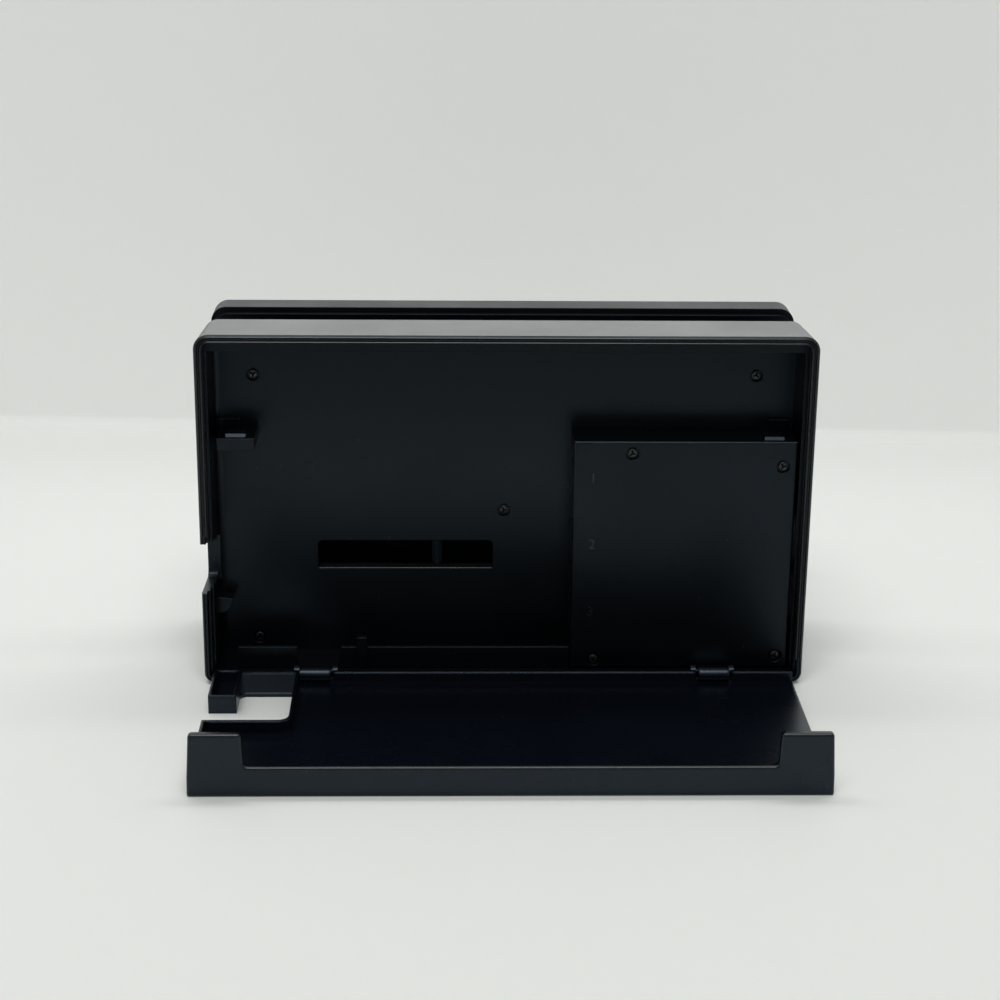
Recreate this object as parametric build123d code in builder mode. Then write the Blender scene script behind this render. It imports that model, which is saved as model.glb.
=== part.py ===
import os
from math import cos, radians, sin, tan

from build123d import *

# Desktop dock for a handheld console: a rear compartment with a hinged cover that lies
# open, a through slot for the console, and a front panel. The front faces -Y.

# Overall sizes
dock_width = 173.0
dock_height = 104.0
dock_depth = 54.0
cover_reach = 71.6
foot_height = 0.6
side_draft = 1.5
top_draft = 3.0

# Rear housing
housing_depth = 24.2
rim_corner = 4.2
base_corner = 3.0
rim_groove_inset = 0.75
rim_groove_width = 0.3
rim_groove_depth = 0.5
rim_land = 1.6
rebate_step = 2.6
rebate_inset = 2.3
rebate_depth = 5.7
side_wall = 3.0
top_wall = 5.9
bottom_wall = 1.8
floor_wall = 2.0
floor_round = 1.8
inside_depth = 6.2
edge_round = 0.8
slot_edge = 0.5

# Cable notch in the side wall, vent through the cavity floor
notch_low = 28.2
notch_high = 43.3
notch_fall = 2.6
notch_depth = 15.5
notch_round = 2.5
notch_frame = 1.2
vent_left = 54.4
vent_right = 3.1
vent_low = 28.9
vent_high = 37.3
vent_round = 1.6
vent_rib_x = 19.5
vent_rib = 1.4

# Sill, cable post, latch ledge, ear stops and cable hook inside the cavity
sill_top = 9.4
sill_thick = 1.5
sill_inset = 9.3
sill_break = 1.6
sill_slope = 1.2
post_offset = 11.8
post_width = 2.8
post_top = 12.6
post_proud = 0.8
ledge_inset = 5.0
ledge_width = 10.5
ledge_top = 72.6
ledge_thick = 3.6
catch_inset = 10.2
catch_width = 5.8
catch_length = 5.2
catch_rise = 0.9
catch_setback = 1.3
ear_stop_inset = 4.5
ear_stop_width = 6.0
ear_stop_low = 74.2
ear_stop_thick = 0.8
ear_stop_reach = 1.5
hook_top = 22.4
hook_height = 5.0
hook_reach = 4.6
hook_length = 5.0
hook_depth = 13.0

# Hinge of the rear cover: its axis is as deep as it is high, so the closed cover is flush
hinge_height = 3.0
barrel_radius = 1.7
barrel_length = 8.8
left_barrel_inset = 32.0
right_barrel_inset = 25.9
knuckle_radius = 2.0
knuckle_reach = 3.8
knuckle_rise = 0.8
pin_radius = 0.9
pin_length = 1.3
pin_clearance = 0.05
cheek_thick = 1.6
cheek_radius = 2.0
cheek_gap = 0.35

# Rear cover, as it lies open
cover_inset = 3.1
cover_floor = 2.0
cover_rim_gap = 0.7
hinge_flange = 5.0
flange_thick = 1.5
flange_gap = 0.9
cover_wall = 0.9
cover_wall_height = 5.5
lip_thick = 2.0
lip_height = 8.1
ear_height = 17.3
ear_width = 14.5
ear_taper = 1.2
ear_slope = 0.4
lip_round = 0.8
arm_width = 7.9
arm_end = 19.8
cutout_end = 36.1
cutout_width = 15.6
cutout_round = 3.0
ramp_top = 4.9
ramp_land = 1.3
ramp_end = 8.4
ramp_corner = 2.2
cover_edge_round = 0.6

# Port cover over the board
port_cover_gap = 0.6
port_cover_width = 63.6
port_cover_height = 69.0
port_cover_wall = 1.6
port_cover_round = 0.6
cover_boss_radius = 1.8
cover_boss_depth = 9.0

# Console slot, base and front panel
liner_wall = 2.0
liner_inset = 1.3
liner_corner = 4.2
seat_corner = 2.6
slot_floor_top = 16.0
slot_floor_thick = 2.2
slot_rib_width = 3.0
slot_rib_rise = 1.1
slot_rib_drop = 16.3
slot_rib_spacing = 39.0
panel_depth = 11.0
panel_inset = 0.6
panel_drop = 2.2
panel_corner = 4.4
panel_wall = 2.2
panel_round = 2.0
panel_step = 1.5
base_cover_thick = 1.8
fit_gap = 0.2

# Console plug on its tilting carriage
carriage_length = 21.2
carriage_depth = 7.0
carriage_bottom = 5.5
carriage_proud = 0.1
tilt_height = 8.0
trunnion_radius = 1.5
trunnion_clearance = 0.06
bracket_thick = 3.0
bracket_depth = 6.4
bracket_gap = 0.5
bracket_head = 2.6
floor_opening_gap = 1.2
plug_width = 8.3
plug_thick = 2.5
plug_wall = 0.35
plug_rise = 6.6
plug_seat = 4.0
plug_gap = 0.05

# Boards, shield, ports and the flat cable
board_thick = 1.6
board_stand = 2.6
board_gap = 0.3
board_side_margin = 5.7
board_low_margin = 7.0
board_high_margin = 6.8
shield_left_margin = 15.8
shield_right_margin = 9.6
shield_low_margin = 4.0
shield_high_margin = 3.2
shield_height = 4.0
shield_wall = 0.3
port_recess = 0.4
port_gap = 0.25
shell_wall = 0.4
power_centre = 60.0
power_width = 9.0
power_height = 3.2
power_length = 8.0
data_centre = 41.0
data_width = 13.1
data_height = 5.9
data_length = 14.0
video_centre = 20.3
video_width = 15.0
video_height = 5.6
video_length = 11.3
video_chamfer = 1.8
side_port_low = 24.0
side_port_spacing = 18.0
tongue_thick = 1.0
tongue_margin = 1.2
tongue_setback = 1.5
cable_width = 10.0
cable_thick = 0.3
cable_clear = 0.6
cable_inset = 20.7
cable_rise = 14.0
connector_board_thick = 1.2

# Screws, feet and the status light
screw_head = 1.4
screw_head_height = 0.8
screw_recess_radius = 1.9
screw_recess_depth = 1.1
screw_side_inset = 14.4
screw_top_inset = 16.4
screw_base_inset = 6.4
screw_middle_height = 46.7
cover_screw_insets = ((16.6, 3.6), (4.0, 7.4), (6.8, 2.5), (3.6, 3.6))
board_screw_head = 1.5
board_screw_margin = 4.2
board_screw_height = 51.0
base_screw_head = 1.9
base_screw_inset = 26.5
base_screw_inner = 25.0
base_boss_radius = 3.0
hole_gap = 0.05
foot_radius = 4.0
foot_sink = 0.6
foot_inset = 20.5
foot_setback = 11.0
light_inset = 16.5
light_z = 9.0
light_radius = 1.1
light_flange = 1.8
light_flange_thick = 1.2
light_clear = 2.8
light_board_width = 12.0
light_board_height = 8.0
light_board_thick = 1.2

# Places that follow from the sizes above
rim_y = (dock_depth - cover_reach) / 2
half_width = dock_width / 2
side_shrink = housing_depth * tan(radians(side_draft))
top_shrink = housing_depth * tan(radians(top_draft))
rear_wall_depth = housing_depth - liner_wall
cavity_depth = rear_wall_depth - floor_wall
cavity_half = half_width - side_wall
panel_back = dock_depth - panel_depth
slot_front = panel_back - liner_wall
slot_width = slot_front - housing_depth
slot_middle = housing_depth + slot_width / 2
slot_floor_under = slot_floor_top - slot_floor_thick
panel_half = half_width - panel_inset
panel_top = dock_height - panel_drop
liner_half = half_width - liner_inset
liner_top = panel_top - panel_step
slot_rib_top = liner_top - slot_rib_drop
base_inside = foot_height + base_cover_thick
cover_half = half_width - cover_inset
arm_x = cover_half - arm_width
cutout_x = arm_x - cutout_width
left_barrel_x = half_width - left_barrel_inset
barrel_places = (left_barrel_x, right_barrel_inset - half_width)
cheek_offset = barrel_length / 2 + cheek_gap + cheek_thick / 2
post_left = left_barrel_x - post_offset
sill_middle_start = left_barrel_x - cheek_offset - sill_break
catch_middle = half_width - catch_inset
port_cover_right = cavity_half - port_cover_gap
port_cover_left = port_cover_right - port_cover_width
port_cover_bottom = foot_height + bottom_wall + port_cover_gap
port_cover_top = port_cover_bottom + port_cover_height
board_back = cavity_depth - board_stand
board_front = board_back - board_thick
board_left = port_cover_left + port_cover_wall + board_gap
board_right = port_cover_right - port_cover_wall - board_side_margin
board_low = port_cover_bottom + board_low_margin
board_high = port_cover_top - board_high_margin
cable_x = -port_cover_left - cable_inset
screw_x = half_width - screw_side_inset
screw_high = dock_height - screw_top_inset
housing_screw_places = [(screw_x, screw_high), (-screw_x, screw_high), (0, screw_middle_height),
                        (screw_x, foot_height + screw_base_inset)]
cover_corners = ((-port_cover_left, -1, port_cover_top, -1), (-port_cover_right, 1, port_cover_top, -1),
                 (-port_cover_left, -1, port_cover_bottom, 1), (-port_cover_right, 1, port_cover_bottom, 1))
cover_screw_places = [(x + x_way * across, z + z_way * along)
                      for (x, x_way, z, z_way), (across, along) in zip(cover_corners, cover_screw_insets)]
board_screw_places = [(board_screw_margin - board_right, board_high - board_screw_margin),
                      (-board_left - 2 * board_screw_margin, board_screw_height),
                      (board_screw_margin - board_right, board_low + board_screw_margin)]
base_screw_x = half_width - base_screw_inset
base_screw_places = [(x, slot_middle)
                     for x in (-base_screw_x, -base_screw_inner, base_screw_inner, base_screw_x)]
foot_places = [(side * (half_width - foot_inset), depth)
               for depth in (foot_setback, panel_back + panel_depth / 2) for side in (-1, 1)]
light_x = light_inset - half_width


def depth_plane(depth):
    """Upright plane at a depth from the rear rim, with X to the right, Z up and its normal to the front."""
    return Plane.XZ.offset(depth - rim_y)


def at_depth(depth):
    return rim_y - depth


def rectangle_between(x_low, x_high, y_low, y_high, mode=Mode.ADD):
    """Sketch rectangle from its four limits."""
    with Locations(((x_low + x_high) / 2, (y_low + y_high) / 2)):
        Rectangle(x_high - x_low, y_high - y_low, mode=mode)


def rim_outline(depth, inset):
    """The rim's outline at a depth, moved inwards by an inset."""
    with BuildSketch(depth_plane(depth)) as outline:
        rectangle_between(-half_width + inset, half_width - inset, foot_height + inset, dock_height - inset)
        fillet(outline.vertices().group_by(Axis.Y)[-1], rim_corner - inset)
        fillet(outline.vertices().group_by(Axis.Y)[0], base_corner - inset)
    return outline.sketch


def bar(x_low, x_high, near, far, z_low, z_high, mode=Mode.ADD):
    """Straight rib or pocket between two depths."""
    with BuildSketch(depth_plane(near)) as section:
        rectangle_between(x_low, x_high, z_low, z_high)
    extrude(section.sketch, amount=far - near, mode=mode)


def hole_row(places, radius, depth, length, mode=Mode.SUBTRACT):
    """Round holes or posts along the depth, at (x, z) places."""
    with BuildSketch(depth_plane(depth)) as circles:
        with Locations(*places):
            Circle(radius)
    extrude(circles.sketch, amount=length, mode=mode)


def disc_row(places, radius, height, length, mode=Mode.ADD):
    """Round recesses or discs standing on a height, at (x, depth) places."""
    with BuildSketch(Plane.XY.offset(height)) as circles:
        with Locations(*[(x, at_depth(depth)) for x, depth in places]):
            Circle(radius)
    extrude(circles.sketch, amount=length, mode=mode)


def latch_catch(middle, level):
    """Catch for one of the cover's ears: a low wedge that rises with depth."""
    start = inside_depth + catch_setback
    with BuildSketch(Plane.YZ.offset(middle - catch_width / 2)) as wedge:
        with BuildLine():
            Polyline((at_depth(start), level - catch_rise), (at_depth(start), level),
                     (at_depth(start + catch_rise), level + catch_rise),
                     (at_depth(start + catch_length), level + catch_rise),
                     (at_depth(start + catch_length), level - catch_rise), close=True)
        make_face()
    extrude(wedge.sketch, amount=catch_width)


def save(part, name):
    part.label = name
    export_step(part, f"parts/{name}.step")


os.makedirs("parts", exist_ok=True)


# Rear housing: a drafted tub with a stepped rim
with BuildPart() as rear_housing:
    with BuildSketch(depth_plane(0)):
        rectangle_between(-half_width, half_width, -base_corner, dock_height + rim_corner)
    extrude(amount=housing_depth, taper=side_draft)
    split(bisect_by=Plane.XY.offset(foot_height), keep=Keep.TOP)
    top_slope = radians(top_draft)
    split(bisect_by=Plane(origin=(0, at_depth(0), dock_height), x_dir=(1, 0, 0),
                          z_dir=(0, -sin(top_slope), cos(top_slope))), keep=Keep.BOTTOM)
    fillet(rear_housing.edges().sort_by(Axis.Y)[4:8].sort_by(Axis.Z)[2:], rim_corner)
    fillet(rear_housing.edges().group_by(Axis.Z)[0].sort_by(SortBy.LENGTH)[:2], base_corner)
    fillet(rear_housing.faces().sort_by(Axis.Y)[-1].edges(), edge_round)
    chamfer(rear_housing.faces().sort_by(Axis.Y)[0].edges(), slot_edge)

    # Thin groove round the rim, the two steps that take the closed cover, then the drafted cavity
    extrude(rim_outline(0, rim_groove_inset), amount=rim_groove_depth, mode=Mode.SUBTRACT)
    extrude(rim_outline(0, rim_groove_inset + rim_groove_width), amount=rim_groove_depth)
    extrude(rim_outline(0, rim_land), amount=rebate_step, mode=Mode.SUBTRACT)
    extrude(rim_outline(rebate_step, rebate_inset), amount=rebate_depth - rebate_step, mode=Mode.SUBTRACT)
    with BuildSketch(depth_plane(rebate_depth)):
        rectangle_between(-cavity_half, cavity_half, foot_height + bottom_wall, dock_height - top_wall)
    extrude(amount=cavity_depth - rebate_depth, taper=side_draft, mode=Mode.SUBTRACT)

    # Round cove between the cavity floor and the wall with the cable notch
    cove_depth = cavity_depth - floor_round
    cove_x = cavity_half - (cove_depth - rebate_depth) * tan(radians(side_draft))
    with BuildSketch(Plane.XY.offset(foot_height + bottom_wall)):
        rectangle_between(cove_x - floor_round, cove_x + rim_land / 2,
                          at_depth(cavity_depth + floor_wall / 2), at_depth(cove_depth))
        with Locations((cove_x - floor_round, at_depth(cove_depth))):
            Circle(floor_round, mode=Mode.SUBTRACT)
    extrude(amount=dock_height - top_wall - bottom_wall - foot_height)

    # Shallow seat at the front for the slot liner's rear wall
    with BuildSketch(depth_plane(rear_wall_depth)) as seat:
        rectangle_between(-half_width + side_shrink + panel_wall, half_width - side_shrink - panel_wall,
                          foot_height + bottom_wall, dock_height - top_shrink - panel_wall)
        fillet(seat.vertices().group_by(Axis.Y)[-1], seat_corner)
    extrude(amount=liner_wall, mode=Mode.SUBTRACT)

    # Sill panels, cable post, latch ledge with its catch, ear stops, cable hook
    sill_low = foot_height + rim_land / 2
    with BuildSketch(depth_plane(inside_depth)):
        rectangle_between(left_barrel_x + cheek_offset, half_width - sill_inset, sill_low, sill_top)
        with BuildLine():
            Polyline((-port_cover_left + fit_gap * 2, sill_low), (sill_middle_start + sill_slope, sill_low),
                     (sill_middle_start, sill_top), (-port_cover_left + fit_gap * 2, sill_top), close=True)
        make_face()
    extrude(amount=sill_thick)
    bar(post_left - post_width, post_left, inside_depth - post_proud, inside_depth + sill_thick,
        sill_low, post_top)
    ledge_outside = half_width - ledge_inset
    bar(ledge_outside - ledge_width, ledge_outside, inside_depth, cavity_depth + floor_wall / 2,
        ledge_top - ledge_thick, ledge_top)
    latch_catch(catch_middle, ledge_top)
    for side in (-1, 1):
        stop = sorted((side * (half_width - ear_stop_inset),
                       side * (half_width - ear_stop_inset - ear_stop_width)))
        bar(stop[0], stop[1], cavity_depth - ear_stop_reach, cavity_depth + floor_wall / 2,
            ear_stop_low, ear_stop_low + ear_stop_thick)
    hook_root = cavity_half + rim_land / 2
    hook_tip = cavity_half - hook_reach
    with BuildSketch(depth_plane(hook_depth)):
        with BuildLine():
            Polyline((hook_root, hook_top), (hook_tip, hook_top - hook_height / 8),
                     (hook_tip + hook_reach / 5, hook_top - hook_height * 3 / 4),
                     (hook_tip + hook_reach * 3 / 5, hook_top - hook_height),
                     (hook_root, hook_top - hook_height), close=True)
        make_face()
    extrude(amount=hook_length)

    # Hinge cheeks, the pockets between them and the pin sockets
    for barrel_x in barrel_places:
        for side in (-1, 1):
            with BuildSketch(Plane.YZ.offset(barrel_x + side * cheek_offset - cheek_thick / 2)):
                with Locations((at_depth(hinge_height), hinge_height)):
                    Circle(cheek_radius)
                rectangle_between(at_depth(hinge_height + cheek_radius),
                                  at_depth(hinge_height - cheek_radius), sill_low, hinge_height)
            extrude(amount=cheek_thick)
        pocket_half = barrel_length / 2 + cheek_gap
        bar(barrel_x - pocket_half, barrel_x + pocket_half, -edge_round,
            hinge_height + barrel_radius + cheek_gap * 2, 0, foot_height + rim_land * 2, mode=Mode.SUBTRACT)
        with BuildSketch(Plane.YZ.offset(barrel_x - cheek_offset - cheek_thick / 2)):
            with Locations((at_depth(hinge_height), hinge_height)):
                Circle(pin_radius + pin_clearance)
        extrude(amount=2 * cheek_offset + cheek_thick, mode=Mode.SUBTRACT)

    # Bosses for the port cover and the board, recesses for the screw heads
    boss_end = cavity_depth + floor_wall / 2
    hole_row(cover_screw_places, cover_boss_radius, cover_boss_depth, boss_end - cover_boss_depth,
             mode=Mode.ADD)
    hole_row(board_screw_places, cover_boss_radius, board_back, boss_end - board_back, mode=Mode.ADD)
    hole_row(housing_screw_places, screw_recess_radius, cavity_depth, screw_recess_depth)

    # Vent, cable notch with its frame, side port windows, flat cable passage, foot recesses
    with BuildSketch(depth_plane(cavity_depth)) as vent:
        rectangle_between(vent_right, vent_left, vent_low, vent_high)
        fillet(vent.vertices().group_by(Axis.Y)[-1], vent_round)
    extrude(amount=floor_wall, mode=Mode.SUBTRACT)
    with BuildSketch(Plane.YZ.offset(half_width - side_wall * 2)) as notch:
        with BuildLine():
            Polyline((at_depth(-edge_round), notch_low), (at_depth(notch_depth), notch_low),
                     (at_depth(notch_depth), notch_high - notch_fall), (at_depth(-edge_round), notch_high),
                     close=True)
        make_face()
        fillet(notch.vertices().group_by(Axis.X)[0], notch_round)
    extrude(amount=side_wall * 3, mode=Mode.SUBTRACT)
    bar(cavity_half - notch_frame, cavity_half + rim_land / 2, notch_depth, notch_depth + notch_frame,
        notch_low - notch_frame, notch_high - notch_fall)
    with BuildSketch(Plane.YZ.offset(-half_width - side_wall)):
        with Locations(*[(at_depth(board_front - data_height / 2), side_port_low + row * side_port_spacing)
                         for row in range(2)]):
            Rectangle(data_height + 2 * port_gap, data_width + 2 * port_gap)
    extrude(amount=side_wall * 3, mode=Mode.SUBTRACT)
    bar(cable_x - cable_width / 2 - fit_gap, cable_x + cable_width / 2 + fit_gap, cavity_depth - rim_land,
        housing_depth, base_inside, base_inside + cable_clear * 4, mode=Mode.SUBTRACT)
    disc_row(foot_places[:2], foot_radius + hole_gap, foot_height, foot_sink, mode=Mode.SUBTRACT)
save(rear_housing.part, "rear_housing")


# Slot liner: rear wall, slot floor, inner front wall and base skirts in one moulding
with BuildPart() as slot_liner:
    with BuildSketch(depth_plane(rear_wall_depth)) as rear_wall:
        rectangle_between(-half_width + side_shrink + panel_wall + fit_gap,
                          half_width - side_shrink - panel_wall - fit_gap,
                          foot_height + bottom_wall + fit_gap,
                          dock_height - top_shrink - panel_wall - fit_gap)
        fillet(rear_wall.vertices().group_by(Axis.Y)[-1], seat_corner)
    extrude(amount=liner_wall)
    with BuildSketch(depth_plane(slot_front)) as front_wall:
        rectangle_between(-liner_half, liner_half, foot_height, liner_top)
        fillet(front_wall.vertices().group_by(Axis.Y)[-1], liner_corner)
    extrude(amount=liner_wall)
    bar(-liner_half, liner_half, housing_depth, slot_front, slot_floor_under, slot_floor_top)
    for side in (-1, 1):
        skirt = sorted((side * liner_half, side * (liner_half - liner_wall)))
        bar(skirt[0], skirt[1], housing_depth, slot_front, foot_height, slot_floor_under)

    # Guide ribs on both walls of the slot, with a lead-in at the top
    for wall, direction in ((housing_depth, 1), (slot_front, -1)):
        for place in (-1.5, -0.5, 0.5, 1.5):
            with BuildSketch(Plane.YZ.offset(place * slot_rib_spacing - slot_rib_width / 2)):
                with BuildLine():
                    Polyline((at_depth(wall - direction * slot_rib_rise), slot_floor_top),
                             (at_depth(wall + direction * slot_rib_rise), slot_floor_top),
                             (at_depth(wall + direction * slot_rib_rise), slot_rib_top - slot_rib_width),
                             (at_depth(wall), slot_rib_top),
                             (at_depth(wall - direction * slot_rib_rise), slot_rib_top), close=True)
                make_face()
            extrude(amount=slot_rib_width)

    # Bosses over the base screws, opening for the plug carriage, vent with its rib, cable passage
    disc_row(base_screw_places, base_boss_radius, base_inside, slot_floor_under - base_inside)
    with BuildSketch(Plane.XY.offset(slot_floor_under)) as opening:
        with Locations((0, at_depth(slot_middle))):
            Rectangle(carriage_length + 2 * floor_opening_gap, carriage_depth + 2 * floor_opening_gap)
        fillet(opening.vertices(), floor_opening_gap)
    extrude(amount=slot_floor_thick, mode=Mode.SUBTRACT)
    with BuildSketch(depth_plane(rear_wall_depth)):
        rectangle_between(vent_right, vent_rib_x - vent_rib / 2, vent_low, vent_high)
        rectangle_between(vent_rib_x + vent_rib / 2, vent_left, vent_low, vent_high)
    extrude(amount=liner_wall, mode=Mode.SUBTRACT)
    bar(cable_x - cable_width / 2 - fit_gap, cable_x + cable_width / 2 + fit_gap,
        rear_wall_depth, housing_depth, foot_height, base_inside + cable_clear * 4, mode=Mode.SUBTRACT)
save(slot_liner.part, "slot_liner")


# Base cover with the brackets that carry the plug
with BuildPart() as base_cover:
    with BuildSketch(Plane.XY.offset(foot_height)):
        with Locations((0, at_depth(slot_middle))):
            Rectangle(2 * (liner_half - liner_wall - fit_gap), slot_width - 2 * fit_gap)
    extrude(amount=base_cover_thick)
    bracket_x = carriage_length / 2 + bracket_gap
    for side in (-1, 1):
        with BuildSketch(Plane.YZ.offset(side * (bracket_x + bracket_thick / 2) - bracket_thick / 2)):
            rectangle_between(at_depth(slot_middle + bracket_depth / 2),
                              at_depth(slot_middle - bracket_depth / 2), base_inside, tilt_height)
            with Locations((at_depth(slot_middle), tilt_height)):
                Circle(trunnion_radius + bracket_head / 2)
                Circle(trunnion_radius + trunnion_clearance, mode=Mode.SUBTRACT)
        extrude(amount=bracket_thick)
    disc_row(base_screw_places, base_screw_head + fit_gap, foot_height, base_cover_thick / 2,
             mode=Mode.SUBTRACT)
save(base_cover.part, "base_cover")


# Front panel: a shallow shell with softened front edges
with BuildPart() as front_panel:
    with BuildSketch(depth_plane(panel_back)) as panel_outline:
        rectangle_between(-panel_half, panel_half, foot_height, panel_top)
        fillet(panel_outline.vertices().group_by(Axis.Y)[-1], panel_corner)
        fillet(panel_outline.vertices().group_by(Axis.Y)[0], base_corner)
    extrude(amount=panel_depth)
    fillet(front_panel.faces().sort_by(Axis.Y)[0].edges(), panel_round)
    with BuildSketch(depth_plane(panel_back)) as panel_hollow:
        rectangle_between(-panel_half + panel_wall, panel_half - panel_wall,
                          foot_height + panel_wall, panel_top - panel_wall)
        fillet(panel_hollow.vertices().group_by(Axis.Y)[-1], panel_corner - panel_wall)
        fillet(panel_hollow.vertices().group_by(Axis.Y)[0], base_corner - panel_wall)
    extrude(amount=panel_depth - panel_wall, mode=Mode.SUBTRACT)
    hole_row([(light_x, light_z)], light_radius + hole_gap, panel_back, panel_depth)
    disc_row(foot_places[2:], foot_radius + hole_gap, foot_height, foot_sink, mode=Mode.SUBTRACT)
save(front_panel.part, "front_panel")


# Rear cover, lying open behind the housing
with BuildPart() as rear_cover:
    with BuildSketch(Plane.XY):
        rectangle_between(-cover_half, cover_half, at_depth(-cover_rim_gap), at_depth(-cover_reach))
    extrude(amount=cover_floor)

    # Hinge flange, broken at the hinge barrels
    flange_end = cover_rim_gap + flange_thick
    with BuildSketch(Plane.XY):
        rectangle_between(-cover_half, cover_half, at_depth(-cover_rim_gap), at_depth(-flange_end))
        for barrel_x in barrel_places:
            with Locations((barrel_x, at_depth(-cover_rim_gap - flange_thick / 2))):
                Rectangle(barrel_length + 2 * flange_gap, flange_thick, mode=Mode.SUBTRACT)
    extrude(amount=hinge_flange)

    # Raised walls: the arm beside the cut-out, the cut-out's edge and the outer side
    with BuildSketch(Plane.XY):
        rectangle_between(arm_x, cover_half, at_depth(-cover_rim_gap), at_depth(-arm_end))
        rectangle_between(cover_half - cover_wall, cover_half, at_depth(-cutout_end), at_depth(-cover_reach))
    extrude(amount=cover_wall_height)
    with BuildSketch(Plane.XY) as cutout_edge:
        rectangle_between(cutout_x - cover_wall, cover_half, at_depth(-flange_end),
                          at_depth(-cutout_end - cover_wall))
        fillet(cutout_edge.vertices().sort_by(Axis.X)[:2].sort_by(Axis.Y)[-1], cutout_round + cover_wall)
    extrude(amount=cover_wall_height)

    # The cut-out that lets cables leave, and the hollow arm beside it
    with BuildSketch(Plane.XY) as cutout:
        rectangle_between(cutout_x, cover_half + cover_wall, at_depth(-arm_end), at_depth(-cutout_end))
        rectangle_between(cutout_x, arm_x, at_depth(-flange_end), at_depth(-arm_end))
        fillet(cutout.vertices().sort_by(Axis.X)[:2].sort_by(Axis.Y)[-1], cutout_round)
    extrude(amount=cover_wall_height, mode=Mode.SUBTRACT)
    with BuildSketch(Plane.XY.offset(cover_floor)):
        rectangle_between(arm_x + cover_wall, cover_half - cover_wall, at_depth(-flange_end),
                          at_depth(-arm_end + cover_wall))
    extrude(amount=cover_wall_height, mode=Mode.SUBTRACT)

    # Sloping inner face of the cut-out on the hinge side, with a round web beside the arm
    with BuildSketch(Plane.YZ.offset(cutout_x - cover_wall)):
        with BuildLine():
            Polyline((at_depth(-cover_rim_gap), 0), (at_depth(-cover_rim_gap), ramp_top),
                     (at_depth(-cover_rim_gap - ramp_land), ramp_top), (at_depth(-ramp_end), cover_floor / 2),
                     (at_depth(-ramp_end), 0), close=True)
        make_face()
    extrude(amount=cutout_width + cover_wall)
    with BuildSketch(Plane.XY):
        rectangle_between(arm_x - ramp_corner, arm_x, at_depth(-ramp_end), at_depth(-ramp_end - ramp_corner))
        with Locations((arm_x - ramp_corner, at_depth(-ramp_end - ramp_corner))):
            Circle(ramp_corner, mode=Mode.SUBTRACT)
    extrude(amount=cover_floor / 2)

    # Lip along the far edge, with a tall ear at each end
    with BuildSketch(depth_plane(-cover_reach)) as lip:
        ear_foot = cover_half - ear_width
        with BuildLine():
            Polyline((-cover_half, 0), (cover_half, 0), (cover_half - ear_taper, ear_height),
                     (ear_foot + ear_slope, ear_height), (ear_foot, lip_height), (-ear_foot, lip_height),
                     (-ear_foot - ear_slope, ear_height), (-cover_half + ear_taper, ear_height), close=True)
        make_face()
        fillet(lip.vertices().group_by(Axis.Y)[1:], lip_round)
    extrude(amount=lip_thick)
    outer_edges = rear_cover.faces().sort_by(Axis.Z)[0].outer_wire().edges()
    fillet(outer_edges.sort_by(Axis.Y)[-1], cover_edge_round)

    # Hinge knuckles, rounded over towards the cover, with their stub pins
    for barrel_x in barrel_places:
        with BuildSketch(Plane.YZ.offset(barrel_x - barrel_length / 2)):
            with Locations((at_depth(hinge_height), hinge_height)):
                Circle(barrel_radius)
            with Locations((at_depth(hinge_height - knuckle_reach), hinge_height + knuckle_rise)):
                Circle(knuckle_radius)
            make_hull()
        extrude(amount=barrel_length)
        pin_reach = barrel_length + 2 * (cheek_gap + pin_length)
        with BuildSketch(Plane.YZ.offset(barrel_x - pin_reach / 2)):
            with Locations((at_depth(hinge_height), hinge_height)):
                Circle(pin_radius)
        extrude(amount=pin_reach)
save(rear_cover.part, "rear_cover")


# Port cover: a cap over the board, open below, with screw wells and port windows
with BuildPart() as port_cover:
    with BuildSketch(depth_plane(inside_depth)):
        rectangle_between(-port_cover_right, -port_cover_left, port_cover_bottom, port_cover_top)
    extrude(amount=cavity_depth - inside_depth)
    fillet(port_cover.faces().sort_by(Axis.Y)[-1].edges(), port_cover_round)
    bar(-port_cover_right + port_cover_wall, -port_cover_left - port_cover_wall,
        inside_depth + port_cover_wall, cavity_depth,
        port_cover_bottom, port_cover_top - port_cover_wall, mode=Mode.SUBTRACT)
    with BuildSketch(depth_plane(inside_depth + port_cover_round)):
        with Locations(*cover_screw_places):
            Circle(screw_recess_radius + port_cover_wall / 2)
        rectangle_between(-port_cover_right, -port_cover_left, port_cover_bottom, port_cover_top,
                          mode=Mode.INTERSECT)
    extrude(amount=cover_boss_depth - inside_depth - port_cover_round)
    hole_row(cover_screw_places, screw_recess_radius, inside_depth, screw_recess_depth)

    # Windows for the ports towards the cable notch, and for the side ports
    with BuildSketch(Plane.YZ.offset(-port_cover_left - port_cover_wall)):
        with Locations((at_depth(board_front - power_height / 2), power_centre)):
            SlotOverall(power_width + 2 * port_gap, power_height + 2 * port_gap, rotation=90)
        with Locations((at_depth(board_front - data_height / 2), data_centre)):
            Rectangle(data_height + 2 * port_gap, data_width + 2 * port_gap)
        with Locations((at_depth(board_front - video_height / 2), video_centre)):
            Rectangle(video_height + 2 * port_gap, video_width + 2 * port_gap)
    extrude(amount=port_cover_wall, mode=Mode.SUBTRACT)
    with BuildSketch(Plane.YZ.offset(-port_cover_right)):
        with Locations(*[(at_depth(board_front - data_height / 2), side_port_low + row * side_port_spacing)
                         for row in range(2)]):
            Rectangle(data_height + 2 * port_gap, data_width + 2 * port_gap)
    extrude(amount=port_cover_wall, mode=Mode.SUBTRACT)
    latch_catch(-catch_middle, port_cover_top)
save(port_cover.part, "port_cover")


# Main board and its shield
with BuildPart() as main_board:
    bar(-board_right, -board_left, board_front, board_back, board_low, board_high)
save(main_board.part, "main_board")

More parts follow.
